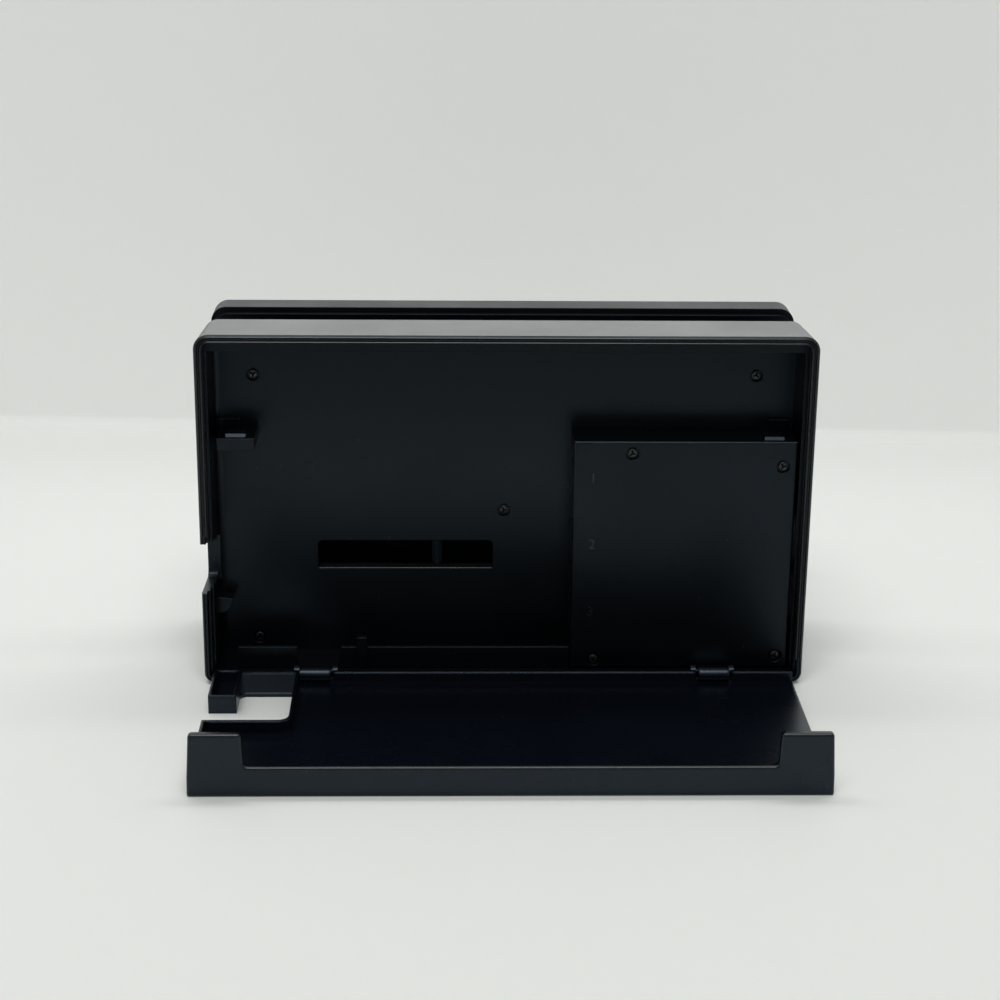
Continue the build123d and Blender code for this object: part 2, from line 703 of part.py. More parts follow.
with BuildPart() as board_shield:
    shield_right = board_right - shield_right_margin
    shield_left = board_left + shield_left_margin
    shield_low = board_low + shield_low_margin
    shield_high = board_high - shield_high_margin
    bar(-shield_right, -shield_left, board_front - shield_height, board_front, shield_low, shield_high)
    bar(-shield_right + shield_wall, -shield_left - shield_wall, board_front - shield_height + shield_wall,
        board_front, shield_low + shield_wall, shield_high - shield_wall, mode=Mode.SUBTRACT)
save(board_shield.part, "board_shield")


# Port shells and their contact tongues, lying on the board with mouths towards the notch
port_mouth = -port_cover_left - port_recess


def port_plane(mouth, length):
    return Plane.YZ.offset(mouth - length)


with BuildPart() as power_inlet:
    with BuildSketch(port_plane(port_mouth, power_length)):
        with Locations((at_depth(board_front - power_height / 2), power_centre)):
            SlotOverall(power_width, power_height, rotation=90)
    extrude(amount=power_length)
    with BuildSketch(port_plane(port_mouth, power_length - shell_wall)):
        with Locations((at_depth(board_front - power_height / 2), power_centre)):
            SlotOverall(power_width - 2 * shell_wall, power_height - 2 * shell_wall, rotation=90)
    extrude(amount=power_length - shell_wall, mode=Mode.SUBTRACT)
save(power_inlet.part, "power_inlet")

with BuildPart() as data_port:
    with BuildSketch(port_plane(port_mouth, data_length)):
        with Locations((at_depth(board_front - data_height / 2), data_centre)):
            Rectangle(data_height, data_width)
    extrude(amount=data_length)
    with BuildSketch(port_plane(port_mouth, data_length - shell_wall)):
        with Locations((at_depth(board_front - data_height / 2), data_centre)):
            Rectangle(data_height - 2 * shell_wall, data_width - 2 * shell_wall)
    extrude(amount=data_length - shell_wall, mode=Mode.SUBTRACT)
save(data_port.part, "data_port")

with BuildPart() as video_port:
    with BuildSketch(port_plane(port_mouth, video_length)) as video_outline:
        with Locations((at_depth(board_front - video_height / 2), video_centre)):
            Rectangle(video_height, video_width)
        chamfer(video_outline.vertices().group_by(Axis.X)[-1], video_chamfer)
    extrude(amount=video_length)
    with BuildSketch(port_plane(port_mouth, video_length - shell_wall)) as video_inside:
        with Locations((at_depth(board_front - video_height / 2), video_centre)):
            Rectangle(video_height - 2 * shell_wall, video_width - 2 * shell_wall)
        chamfer(video_inside.vertices().group_by(Axis.X)[-1], video_chamfer)
    extrude(amount=video_length - shell_wall, mode=Mode.SUBTRACT)
save(video_port.part, "video_port")

side_mouth = -half_width + board_front * tan(radians(side_draft)) + port_recess
with BuildPart() as side_ports:
    for row in range(2):
        row_centre = side_port_low + row * side_port_spacing
        with BuildSketch(Plane.YZ.offset(side_mouth)):
            with Locations((at_depth(board_front - data_height / 2), row_centre)):
                Rectangle(data_height, data_width)
        extrude(amount=data_length)
        with BuildSketch(Plane.YZ.offset(side_mouth)):
            with Locations((at_depth(board_front - data_height / 2), row_centre)):
                Rectangle(data_height - 2 * shell_wall, data_width - 2 * shell_wall)
        extrude(amount=data_length - shell_wall, mode=Mode.SUBTRACT)
save(side_ports.part, "side_ports")

with BuildPart() as port_tongues:
    for centre, height, width, length in ((power_centre, power_height, power_width, power_length),
                                          (data_centre, data_height, data_width, data_length),
                                          (video_centre, video_height, video_width, video_length)):
        with BuildSketch(port_plane(port_mouth, length - shell_wall)):
            with Locations((at_depth(board_front - height / 2), centre)):
                Rectangle(tongue_thick, width - 2 * shell_wall - 2 * tongue_margin)
        extrude(amount=length - shell_wall - tongue_setback)
    for row in range(2):
        with BuildSketch(Plane.YZ.offset(side_mouth + tongue_setback)):
            port_height = side_port_low + row * side_port_spacing
            with Locations((at_depth(board_front - data_height / 2), port_height)):
                Rectangle(tongue_thick, data_width - 2 * shell_wall - 2 * tongue_margin)
        extrude(amount=data_length - shell_wall - tongue_setback)
save(port_tongues.part, "port_tongues")


# Console plug: carriage on trunnions, plug shell and its small board
with BuildPart() as plug_carriage:
    with BuildSketch(Plane.XY.offset(carriage_bottom)) as carriage_outline:
        with Locations((0, at_depth(slot_middle))):
            Rectangle(carriage_length, carriage_depth)
        fillet(carriage_outline.vertices(), edge_round)
    extrude(amount=slot_floor_top + carriage_proud - carriage_bottom)
    trunnion_length = carriage_length + 2 * (bracket_gap + bracket_thick)
    with BuildSketch(Plane.YZ.offset(-trunnion_length / 2)):
        with Locations((at_depth(slot_middle), tilt_height)):
            Circle(trunnion_radius)
    extrude(amount=trunnion_length)
    with BuildSketch(Plane.XY.offset(slot_floor_top + carriage_proud - plug_seat)):
        with Locations((0, at_depth(slot_middle))):
            SlotOverall(plug_width + 2 * plug_gap, plug_thick + 2 * plug_gap)
    extrude(amount=plug_seat, mode=Mode.SUBTRACT)
save(plug_carriage.part, "plug_carriage")

with BuildPart() as console_plug:
    plug_base = slot_floor_top + carriage_proud - plug_seat
    with BuildSketch(Plane.XY.offset(plug_base)):
        with Locations((0, at_depth(slot_middle))):
            SlotOverall(plug_width, plug_thick)
    extrude(amount=plug_seat + plug_rise)
    with BuildSketch(Plane.XY.offset(plug_base + plug_seat)):
        with Locations((0, at_depth(slot_middle))):
            SlotOverall(plug_width - 2 * plug_wall * 2, plug_thick - 2 * plug_wall * 2)
    extrude(amount=plug_rise, mode=Mode.SUBTRACT)
save(console_plug.part, "console_plug")

with BuildPart() as connector_board:
    with BuildSketch(Plane.XY.offset(carriage_bottom - connector_board_thick)):
        with Locations((0, at_depth(slot_middle))):
            Rectangle(carriage_length - 2 * edge_round, carriage_depth - edge_round)
    extrude(amount=connector_board_thick)
save(connector_board.part, "connector_board")


# Flat cable from under the plug, through both walls and up to the main board
with BuildPart() as flat_cable:
    run_front = slot_middle - bracket_depth / 2 - bracket_gap
    with BuildSketch(Plane.XY.offset(base_inside + cable_clear)):
        rectangle_between(cable_x - cable_width / 2, carriage_depth, at_depth(run_front),
                          at_depth(housing_depth + rim_land))
        rectangle_between(-carriage_depth, carriage_depth, at_depth(slot_middle), at_depth(run_front))
        rectangle_between(cable_x - cable_width / 2, cable_x + cable_width / 2, at_depth(run_front),
                          at_depth(board_back))
    extrude(amount=cable_thick)
    bar(cable_x - cable_width / 2, cable_x + cable_width / 2, board_back, board_back + cable_thick,
        base_inside + cable_clear, cable_rise)
save(flat_cable.part, "flat_cable")


# Status light: a pipe in the front panel and its board on the liner
with BuildPart() as light_pipe:
    light_back = panel_back + light_board_thick + light_clear
    hole_row([(light_x, light_z)], light_radius, light_back, dock_depth - light_back, mode=Mode.ADD)
    hole_row([(light_x, light_z)], light_flange, dock_depth - panel_wall - light_flange_thick,
             light_flange_thick, mode=Mode.ADD)
save(light_pipe.part, "light_pipe")

with BuildPart() as light_board:
    bar(light_x - light_board_width / 2, light_x + light_board_width / 2,
        panel_back, panel_back + light_board_thick,
        light_z - light_board_height / 2, light_z + light_board_height / 2)
save(light_board.part, "light_board")


# Screw heads, seated in their recesses
with BuildPart() as housing_screws:
    hole_row(housing_screw_places, screw_head, cavity_depth + screw_recess_depth - screw_head_height,
             screw_head_height, mode=Mode.ADD)
save(housing_screws.part, "housing_screws")

with BuildPart() as port_cover_screws:
    hole_row(cover_screw_places, screw_head, inside_depth + screw_recess_depth - screw_head_height,
             screw_head_height, mode=Mode.ADD)
save(port_cover_screws.part, "port_cover_screws")

with BuildPart() as board_screws:
    hole_row(board_screw_places, board_screw_head, board_front - screw_head_height, screw_head_height,
             mode=Mode.ADD)
save(board_screws.part, "board_screws")

with BuildPart() as base_screws:
    disc_row(base_screw_places, base_screw_head, foot_height + base_cover_thick / 2 - screw_head_height,
             screw_head_height)
save(base_screws.part, "base_screws")


# Rubber feet
with BuildPart() as rubber_feet:
    disc_row(foot_places, foot_radius, 0, foot_height + foot_sink)
save(rubber_feet.part, "rubber_feet")
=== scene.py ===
from math import cos, pi, radians, sin

import bpy
from mathutils import Matrix, Vector


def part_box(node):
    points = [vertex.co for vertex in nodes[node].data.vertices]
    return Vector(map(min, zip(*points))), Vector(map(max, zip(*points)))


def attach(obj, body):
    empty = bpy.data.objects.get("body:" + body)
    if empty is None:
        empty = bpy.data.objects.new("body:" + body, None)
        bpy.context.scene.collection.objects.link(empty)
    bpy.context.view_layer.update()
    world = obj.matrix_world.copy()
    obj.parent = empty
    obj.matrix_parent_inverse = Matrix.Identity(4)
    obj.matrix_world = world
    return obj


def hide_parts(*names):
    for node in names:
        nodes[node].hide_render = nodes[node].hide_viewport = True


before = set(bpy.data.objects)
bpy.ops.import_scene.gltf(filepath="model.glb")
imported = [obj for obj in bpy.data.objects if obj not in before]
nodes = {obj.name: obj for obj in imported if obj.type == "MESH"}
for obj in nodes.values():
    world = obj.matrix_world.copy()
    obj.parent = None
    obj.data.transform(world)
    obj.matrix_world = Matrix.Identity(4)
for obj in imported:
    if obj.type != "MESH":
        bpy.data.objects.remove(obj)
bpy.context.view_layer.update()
millimetre = 0.001
hair = 0.01 * millimetre  # points closer than this share a place
squarely = 0.99  # the least share of a normal along an axis that a face looks along
smoothAngle = radians(35)
rimY = -8.8 * millimetre  # the rear rim of the housing, depths run from it towards -Y
print("stage: frame loaded,", len(nodes), "nodes")


# Helpers that every piece uses
def clearSelection():
    if bpy.context.object and bpy.context.object.mode != "OBJECT":
        bpy.ops.object.mode_set(mode="OBJECT")
    bpy.ops.object.select_all(action="DESELECT")


def makeActive(piece):
    clearSelection()
    piece.select_set(True)
    bpy.context.view_layer.objects.active = piece


def applyPlace(piece):
    makeActive(piece)
    bpy.ops.object.transform_apply(location=True, rotation=True, scale=True)


def applyModifiers(piece):
    makeActive(piece)
    for modifier in list(piece.modifiers):
        bpy.ops.object.modifier_apply(modifier=modifier.name)


def startSelection(piece, kind):
    makeActive(piece)
    bpy.ops.object.mode_set(mode="EDIT")
    bpy.ops.mesh.select_mode(type=kind)
    bpy.ops.mesh.select_all(action="DESELECT")
    bpy.ops.object.mode_set(mode="OBJECT")


def selectFaces(piece, wanted):
    startSelection(piece, "FACE")
    for face in piece.data.polygons:
        face.select = wanted(face.center, face.normal)
    bpy.ops.object.mode_set(mode="EDIT")


def selectEdges(piece, wanted):
    startSelection(piece, "EDGE")
    for edge in piece.data.edges:
        edge.select = wanted(*[piece.data.vertices[i].co for i in edge.vertices])
    bpy.ops.object.mode_set(mode="EDIT")


def selectPoints(piece, wanted):
    startSelection(piece, "VERT")
    for point in piece.data.vertices:
        point.select = wanted(point.co)
    bpy.ops.object.mode_set(mode="EDIT")


def inMetres(settings):  # the settings that are lengths in millimetres, counts and tuples left out
    return {key: value * millimetre for key, value in settings.items() if isinstance(value, float)}


def addBlock(name, size, middle=(0, 0, 0), turn=0.0):
    clearSelection()
    bpy.ops.mesh.primitive_cube_add(size=1.0)
    block = bpy.context.object
    block.name = name
    block.scale = size
    block.location = middle
    block.rotation_euler = (0, 0, turn)
    applyPlace(block)
    return block


def roundEdges(piece, width):
    rounding = piece.modifiers.new("rounding", "BEVEL")
    rounding.width = width
    rounding.segments = 4
    rounding.limit_method = "ANGLE"
    rounding.angle_limit = radians(40)
    applyModifiers(piece)


def copyOf(piece, name):
    twin = piece.copy()
    twin.data = piece.data.copy()
    twin.name = name
    bpy.context.scene.collection.objects.link(twin)
    return twin


def dress(piece, material, body):
    makeActive(piece)
    bpy.ops.object.shade_smooth_by_angle(angle=smoothAngle)
    piece.data.materials.clear()
    piece.data.materials.append(material)
    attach(piece, body)
    return piece


# Node helpers for the finishes
noiseSpan = (0.3, 0.7)  # most of a noise lies in this span
edgeShine = {"samples": 6, "cornerSamples": 4, "cornerReach": 1.6, "openShare": (0.72, 0.92)}


def startMaterial(name):
    material = bpy.data.materials.new(name)
    material.use_nodes = True
    tree = material.node_tree
    shader = tree.nodes["Principled BSDF"]
    coords = tree.nodes.new("ShaderNodeTexCoord")
    return material, tree, shader, coords


def noiseOf(tree, coords, scale, detail=2.0, rough=0.5):
    noise = tree.nodes.new("ShaderNodeTexNoise")
    noise.inputs["Scale"].default_value = scale
    noise.inputs["Detail"].default_value = detail
    noise.inputs["Roughness"].default_value = rough
    tree.links.new(coords.outputs["Object"], noise.inputs["Vector"])
    return noise.outputs["Fac"]


def spreadOf(tree, source, fromLow, fromHigh, toLow, toHigh):
    spread = tree.nodes.new("ShaderNodeMapRange")
    spread.inputs["From Min"].default_value = fromLow
    spread.inputs["From Max"].default_value = fromHigh
    spread.inputs["To Min"].default_value = toLow
    spread.inputs["To Max"].default_value = toHigh
    tree.links.new(source, spread.inputs["Value"])
    return spread.outputs["Result"]


def blendOf(tree, factor, dark, light):
    blend = tree.nodes.new("ShaderNodeMix")
    blend.data_type = "RGBA"
    for socket, colour in ((blend.inputs[6], dark), (blend.inputs[7], light)):
        if isinstance(colour, tuple):
            socket.default_value = (*colour, 1.0)
        else:
            tree.links.new(colour, socket)
    tree.links.new(factor, blend.inputs[0])
    return blend.outputs[2]


def productOf(tree, first, second):
    product = tree.nodes.new("ShaderNodeMath")
    product.operation = "MULTIPLY"
    tree.links.new(first, product.inputs[0])
    tree.links.new(second, product.inputs[1])
    return product.outputs[0]


def edgeOf(tree, radius):
    edge = tree.nodes.new("ShaderNodeBevel")  # moulded edges catch the light, inside corners stay sharp
    edge.samples = edgeShine["samples"]
    edge.inputs["Radius"].default_value = radius
    corner = tree.nodes.new("ShaderNodeAmbientOcclusion")
    corner.samples = edgeShine["cornerSamples"]
    corner.inputs["Distance"].default_value = radius * edgeShine["cornerReach"]
    plain = tree.nodes.new("ShaderNodeNewGeometry")
    choice = tree.nodes.new("ShaderNodeMix")
    choice.data_type = "VECTOR"
    openness = spreadOf(tree, corner.outputs["AO"], *edgeShine["openShare"], 0.0, 1.0)
    tree.links.new(openness, choice.inputs[0])
    tree.links.new(plain.outputs["Normal"], choice.inputs[4])
    tree.links.new(edge.outputs["Normal"], choice.inputs[5])
    return choice.outputs[1]


def bumpOf(tree, height, strength, distance, edgeRadius):
    bump = tree.nodes.new("ShaderNodeBump")
    bump.inputs["Strength"].default_value = strength
    bump.inputs["Distance"].default_value = distance
    tree.links.new(height, bump.inputs["Height"])
    if edgeRadius:
        tree.links.new(edgeOf(tree, edgeRadius), bump.inputs["Normal"])
    return bump.outputs["Normal"]


# Charcoal moulded plastic, satin with a fine spark texture and a little lint
charcoal = {
    "housing": {"dark": (0.0008, 0.0011, 0.0018), "light": (0.0014, 0.0018, 0.0026), "rough": (0.27, 0.34),
                "mirror": 0.30, "edge": 0.00040},
    "panel": {"dark": (0.0010, 0.0013, 0.0018), "light": (0.0016, 0.0020, 0.0026), "rough": (0.42, 0.50),
              "mirror": 0.20, "edge": 0.00040},
    "cover": {"dark": (0.0006, 0.0013, 0.0034), "light": (0.0011, 0.0019, 0.0044), "rough": (0.24, 0.30),
              "mirror": 0.36, "edge": 0.00110},
    "liner": {"dark": (0.0006, 0.0009, 0.0014), "light": (0.0012, 0.0015, 0.0020), "rough": (0.32, 0.40),
              "mirror": 0.26, "edge": 0.00040},
    "ports": {"dark": (0.0008, 0.0011, 0.0018), "light": (0.0014, 0.0018, 0.0026), "rough": (0.28, 0.35),
              "mirror": 0.30, "edge": 0.00050},
    # The numbers are moulded in the housing's colour: their higher gloss is their own, their lighter base
    # colour is a painted highlight
    "numbers": {"dark": (0.0040, 0.0048, 0.0056), "light": (0.0052, 0.0060, 0.0068), "rough": (0.22, 0.28),
                "mirror": 0.55, "edge": 0.00006},
    # Lighter than the housing, so the rounded rim lips, vent sill and cover lip edges read as bright lines:
    # a painted highlight beside their real gloss
    "paintedHighlight": {"dark": (0.006, 0.007, 0.008), "light": (0.010, 0.011, 0.012), "rough": (0.24, 0.30),
             "mirror": 0.46, "edge": 0.0, "tint": (0.97, 1.0, 0.99)},
    "grainScale": 2600.0,
    "grainDepth": 0.000016,
    "grainStrength": 0.18,
    "tint": (0.80, 1.0, 1.20),
    "smudgeScale": 22.0,
    "cloudScale": 75.0,
    "lintScale": 210.0,
    "lintSize": (0.025, 0.055),
    "lintPatch": (0.50, 0.58),
    "lintColour": (0.055, 0.057, 0.060),
}


def charcoalPlastic(name, tones):
    material, tree, shader, coords = startMaterial(name)
    smudge = noiseOf(tree, coords, charcoal["smudgeScale"], detail=4.0, rough=0.6)
    cloud = noiseOf(tree, coords, charcoal["cloudScale"])
    colour = blendOf(tree, spreadOf(tree, smudge, *noiseSpan, 0.0, 1.0), tones["dark"], tones["light"])
    specks = tree.nodes.new("ShaderNodeTexVoronoi")
    specks.inputs["Scale"].default_value = charcoal["lintScale"]
    specks.inputs["Randomness"].default_value = 1.0
    tree.links.new(coords.outputs["Object"], specks.inputs["Vector"])
    fleck = spreadOf(tree, specks.outputs["Distance"], *charcoal["lintSize"], 1.0, 0.0)
    patch = spreadOf(tree, cloud, *charcoal["lintPatch"], 0.0, 1.0)
    lint = productOf(tree, fleck, patch)
    tree.links.new(blendOf(tree, lint, colour, charcoal["lintColour"]), shader.inputs["Base Color"])
    tree.links.new(spreadOf(tree, smudge, *noiseSpan, *tones["rough"]), shader.inputs["Roughness"])
    grain = noiseOf(tree, coords, charcoal["grainScale"], detail=3.0, rough=0.6)
    normal = bumpOf(tree, grain, charcoal["grainStrength"], charcoal["grainDepth"], tones["edge"])
    tree.links.new(normal, shader.inputs["Normal"])
    shader.inputs["Specular IOR Level"].default_value = tones["mirror"]
    shader.inputs["Specular Tint"].default_value = (*tones.get("tint", charcoal["tint"]), 1.0)
    return material


# Metal rolled to a strip and stamped
rolledStrip = {
    "stretch": (60.0, 900.0, 900.0),
    "detail": 3.0,
    "strength": 0.1,
    "depth": 0.00001,
    "edge": 0.0001,
}


def stampedMetal(name, dark, light, rough):
    material, tree, shader, coords = startMaterial(name)
    stretch = tree.nodes.new("ShaderNodeMapping")  # rolling marks along the strip
    stretch.inputs["Scale"].default_value = rolledStrip["stretch"]
    tree.links.new(coords.outputs["Object"], stretch.inputs["Vector"])
    lines = tree.nodes.new("ShaderNodeTexNoise")
    lines.inputs["Scale"].default_value = 1.0
    lines.inputs["Detail"].default_value = rolledStrip["detail"]
    tree.links.new(stretch.outputs["Vector"], lines.inputs["Vector"])
    tree.links.new(blendOf(tree, lines.outputs["Fac"], dark, light), shader.inputs["Base Color"])
    tree.links.new(spreadOf(tree, lines.outputs["Fac"], *noiseSpan, *rough), shader.inputs["Roughness"])
    marks = bumpOf(tree, lines.outputs["Fac"], rolledStrip["strength"], rolledStrip["depth"],
                   rolledStrip["edge"])
    tree.links.new(marks, shader.inputs["Normal"])
    shader.inputs["Metallic"].default_value = 1.0
    return material


# Green lacquer over the copper runs of a board
boardLacquer = {
    "scale": 140.0,
    "Color1": (0.012, 0.075, 0.040),
    "Color2": (0.016, 0.095, 0.050),
    "Mortar": (0.008, 0.050, 0.028),
    "strength": 0.3,
    "depth": 0.00003,
    "rough": 0.35,
}


def solderMask(name):
    material, tree, shader, coords = startMaterial(name)
    tracks = tree.nodes.new("ShaderNodeTexBrick")
    tracks.inputs["Scale"].default_value = boardLacquer["scale"]
    for socketName in ("Color1", "Color2", "Mortar"):
        tracks.inputs[socketName].default_value = (*boardLacquer[socketName], 1.0)
    turned = tree.nodes.new("ShaderNodeMapping")
    turned.inputs["Rotation"].default_value = (pi / 2, 0, 0)
    tree.links.new(coords.outputs["Object"], turned.inputs["Vector"])
    tree.links.new(turned.outputs["Vector"], tracks.inputs["Vector"])
    tree.links.new(tracks.outputs["Color"], shader.inputs["Base Color"])
    relief = bumpOf(tree, tracks.outputs["Fac"], boardLacquer["strength"], boardLacquer["depth"], 0.0)
    tree.links.new(relief, shader.inputs["Normal"])
    shader.inputs["Roughness"].default_value = boardLacquer["rough"]
    return material


# Soft black rubber of the feet
blackRubber = {
    "scale": 1800.0,
    "dark": (0.010, 0.010, 0.011),
    "light": (0.024, 0.024, 0.025),
    "rough": (0.75, 0.92),
    "strength": 0.4,
    "depth": 0.00005,
    "edge": 0.0002,
}


def softRubber(name):
    material, tree, shader, coords = startMaterial(name)
    grain = noiseOf(tree, coords, blackRubber["scale"], detail=4.0, rough=0.7)
    colour = blendOf(tree, grain, blackRubber["dark"], blackRubber["light"])
    tree.links.new(colour, shader.inputs["Base Color"])
    tree.links.new(spreadOf(tree, grain, *noiseSpan, *blackRubber["rough"]), shader.inputs["Roughness"])
    relief = bumpOf(tree, grain, blackRubber["strength"], blackRubber["depth"], blackRubber["edge"])
    tree.links.new(relief, shader.inputs["Normal"])
    return material


# Amber film of the flat cable, with its conductors side by side
flatFilm = {"scale": 160.0, "dark": (0.30, 0.17, 0.05), "light": (0.50, 0.33, 0.14), "rough": (0.30, 0.42)}


def amberFilm(name):
    material, tree, shader, coords = startMaterial(name)
    strands = tree.nodes.new("ShaderNodeTexWave")
    strands.inputs["Scale"].default_value = flatFilm["scale"]
    tree.links.new(coords.outputs["Object"], strands.inputs["Vector"])
    colour = blendOf(tree, strands.outputs["Fac"], flatFilm["dark"], flatFilm["light"])
    tree.links.new(colour, shader.inputs["Base Color"])
    rough = spreadOf(tree, strands.outputs["Fac"], 0.0, 1.0, *flatFilm["rough"])
    tree.links.new(rough, shader.inputs["Roughness"])
    return material


# Cloudy green end of the light pipe
cloudyLens = {
    "scale": 900.0,
    "dark": (0.10, 0.26, 0.12),
    "light": (0.16, 0.36, 0.18),
    "rough": (0.12, 0.24),
    "glow": 0.3,
    "glowReach": (0.0004, 0.0010, 0.0005),
}


def greenLens(name):
    material, tree, shader, coords = startMaterial(name)
    haze = noiseOf(tree, coords, cloudyLens["scale"])
    colour = blendOf(tree, haze, cloudyLens["dark"], cloudyLens["light"])
    tree.links.new(colour, shader.inputs["Base Color"])
    tree.links.new(spreadOf(tree, haze, *noiseSpan, *cloudyLens["rough"]), shader.inputs["Roughness"])
    shader.inputs["Subsurface Weight"].default_value = cloudyLens["glow"]
    shader.inputs["Subsurface Radius"].default_value = cloudyLens["glowReach"]
    return material


housingSkin = charcoalPlastic("housingSkin", charcoal["housing"])
panelSkin = charcoalPlastic("panelSkin", charcoal["panel"])
numberSkin = charcoalPlastic("numberSkin", charcoal["numbers"])
coverSkin = charcoalPlastic("coverSkin", charcoal["cover"])
linerSkin = charcoalPlastic("linerSkin", charcoal["liner"])
portSkin = charcoalPlastic("portSkin", charcoal["ports"])
paintedHighlightSkin = charcoalPlastic("paintedHighlightSkin", charcoal["paintedHighlight"])  # lighter colour for the rim lips, vent sill and cover lip edges: a painted highlight
shellSteel = stampedMetal("shellSteel", (0.42, 0.43, 0.44), (0.62, 0.63, 0.64), (0.25, 0.40))
plugSteel = stampedMetal("plugSteel", (0.60, 0.60, 0.61), (0.74, 0.74, 0.75), (0.16, 0.28))
screwSteel = stampedMetal("screwSteel", (0.055, 0.058, 0.060), (0.085, 0.088, 0.090), (0.30, 0.42))
# Near-black colour for the faces inside the screws' three-winged recess: painted shade
paintedRecessShade = stampedMetal("paintedRecessShade", (0.002, 0.002, 0.002), (0.006, 0.006, 0.006), (0.55, 0.70))
contactGold = stampedMetal("contactGold", (0.62, 0.42, 0.16), (0.80, 0.58, 0.26), (0.20, 0.32))
boardMask = solderMask("boardMask")
footRubber = softRubber("footRubber")
cableFilm = amberFilm("cableFilm")
lightLens = greenLens("lightLens")

finishOf = {
    "rear_housing": housingSkin, "front_panel": panelSkin, "rear_cover": coverSkin, "port_cover": portSkin,
    "slot_liner": linerSkin, "base_cover": linerSkin, "plug_carriage": linerSkin, "port_tongues": linerSkin,
    "main_board": boardMask, "connector_board": boardMask, "light_board": boardMask,
    "board_shield": shellSteel, "power_inlet": shellSteel, "data_port": shellSteel,
    "video_port": shellSteel, "side_ports": shellSteel, "console_plug": plugSteel,
    "flat_cable": cableFilm, "light_pipe": lightLens,
    "housing_screws": screwSteel, "port_cover_screws": screwSteel, "board_screws": screwSteel,
    "base_screws": screwSteel, "rubber_feet": footRubber,
}
for nodeName, finish in finishOf.items():
    nodes[nodeName].data.materials.clear()
    nodes[nodeName].data.materials.append(finish)
print("stage: finishes on the frame")


# Screw heads: a low dome with a three-winged recess, lengths in millimetres
screwHead = {
    "sides": 48,
    "radius": 1.32,
    "height": 0.8,
    "shoulder": 0.22,
    "crown": 0.45,
    "crownRise": 0.10,
    "wings": 3,
    "wingLength": 1.08,
    "wingWidth": 0.42,
    "wingDepth": 0.42,
    "margin": 0.1,
    "turns": (0.3, 1.1, 0.7, 1.6),
}


def modelScrewHead(name):
    size = inMetres(screwHead)
    clearSelection()
    bpy.ops.mesh.primitive_cylinder_add(vertices=screwHead["sides"], radius=size["radius"],
                                        depth=size["height"])
    head = bpy.context.object
    head.name = name
    top = size["height"] / 2
    selectEdges(head, lambda a, b: min(a.z, b.z) > top - hair)
    bpy.ops.mesh.bevel(offset=size["shoulder"], segments=3)
    selectFaces(head, lambda centre, normal: normal.z > squarely)
    bpy.ops.mesh.inset(thickness=size["crown"])
    bpy.ops.transform.translate(value=(0, 0, size["crownRise"]))
    bpy.ops.object.mode_set(mode="OBJECT")
    for wing in range(screwHead["wings"]):
        angle = 2 * pi * wing / screwHead["wings"]
        reach = size["wingLength"] / 2 - size["wingWidth"] / 4
        cutter = addBlock("wingCutter", (size["wingLength"], size["wingWidth"], size["wingDepth"] * 2),
                          (reach * cos(angle), reach * sin(angle), top + size["crownRise"]), angle)
        cut = head.modifiers.new("wing", "BOOLEAN")
        cut.operation = "DIFFERENCE"
        cut.solver = "EXACT"
        cut.object = cutter
        applyModifiers(head)
        bpy.data.objects.remove(cutter)
    innerRadius = size["radius"] - size["shoulder"] - size["margin"]
    recess = []
    for face in head.data.polygons:
        sunk = abs(face.normal.z) < cos(radians(60)) or face.center.z < top - hair
        recess.append(sunk and face.center.xy.length < innerRadius)
    return head, recess


def placeScrews(pattern, recess, nodeName, turn, label):
    for index, (place, roll) in enumerate(zip(screwPlaces[nodeName], screwHead["turns"]), 1):
        head = copyOf(pattern, f"{label}{index}")
        head.matrix_world = Matrix.Translation(place) @ turn @ Matrix.Rotation(roll, 4, "Z")
        applyPlace(head)
        dress(head, screwSteel, "dock")
        # the faces inside the recess take the painted recess shade
        head.data.materials.append(paintedRecessShade)
        for face, inside in zip(head.data.polygons, recess):
            face.material_index = 1 if inside else 0
        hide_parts(nodeName)


def islandsOf(nodeName):
    mesh = nodes[nodeName].data
    parent = list(range(len(mesh.vertices)))
    keyed = {}
    for vertex in mesh.vertices:
        keyed.setdefault(tuple(round(c, 6) for c in vertex.co), []).append(vertex.index)

    def root(index):
        while parent[index] != index:
            parent[index] = parent[parent[index]]
            index = parent[index]
        return index

    for same in keyed.values():
        for other in same[1:]:
            parent[root(other)] = root(same[0])
    for face in mesh.polygons:
        for other in face.vertices[1:]:
            parent[root(other)] = root(face.vertices[0])
    groups = {}
    for vertex in mesh.vertices:
        groups.setdefault(root(vertex.index), []).append(vertex.co)
    boxes = []
    for points in groups.values():
        low = Vector([min(p[axis] for p in points) for axis in range(3)])
        high = Vector([max(p[axis] for p in points) for axis in range(3)])
        boxes.append((low, high))
    return sorted(boxes, key=lambda box: (round(box[0].x, 4), round(box[0].z, 4)))


screwPlaces = {name: [(low + high) / 2 for low, high in islandsOf(name)]
               for name in ("housing_screws", "port_cover_screws", "base_screws")}
facingRear = Matrix.Rotation(-pi / 2, 4, "X")
facingDown = Matrix.Rotation(pi, 4, "X")
screwPattern, recessFaces = modelScrewHead("screwPattern")
placeScrews(screwPattern, recessFaces, "housing_screws", facingRear, "housingScrew")
placeScrews(screwPattern, recessFaces, "port_cover_screws", facingRear, "portCoverScrew")
placeScrews(screwPattern, recessFaces, "base_screws", facingDown, "baseScrew")
bpy.data.objects.remove(screwPattern)
print("stage: screw heads")
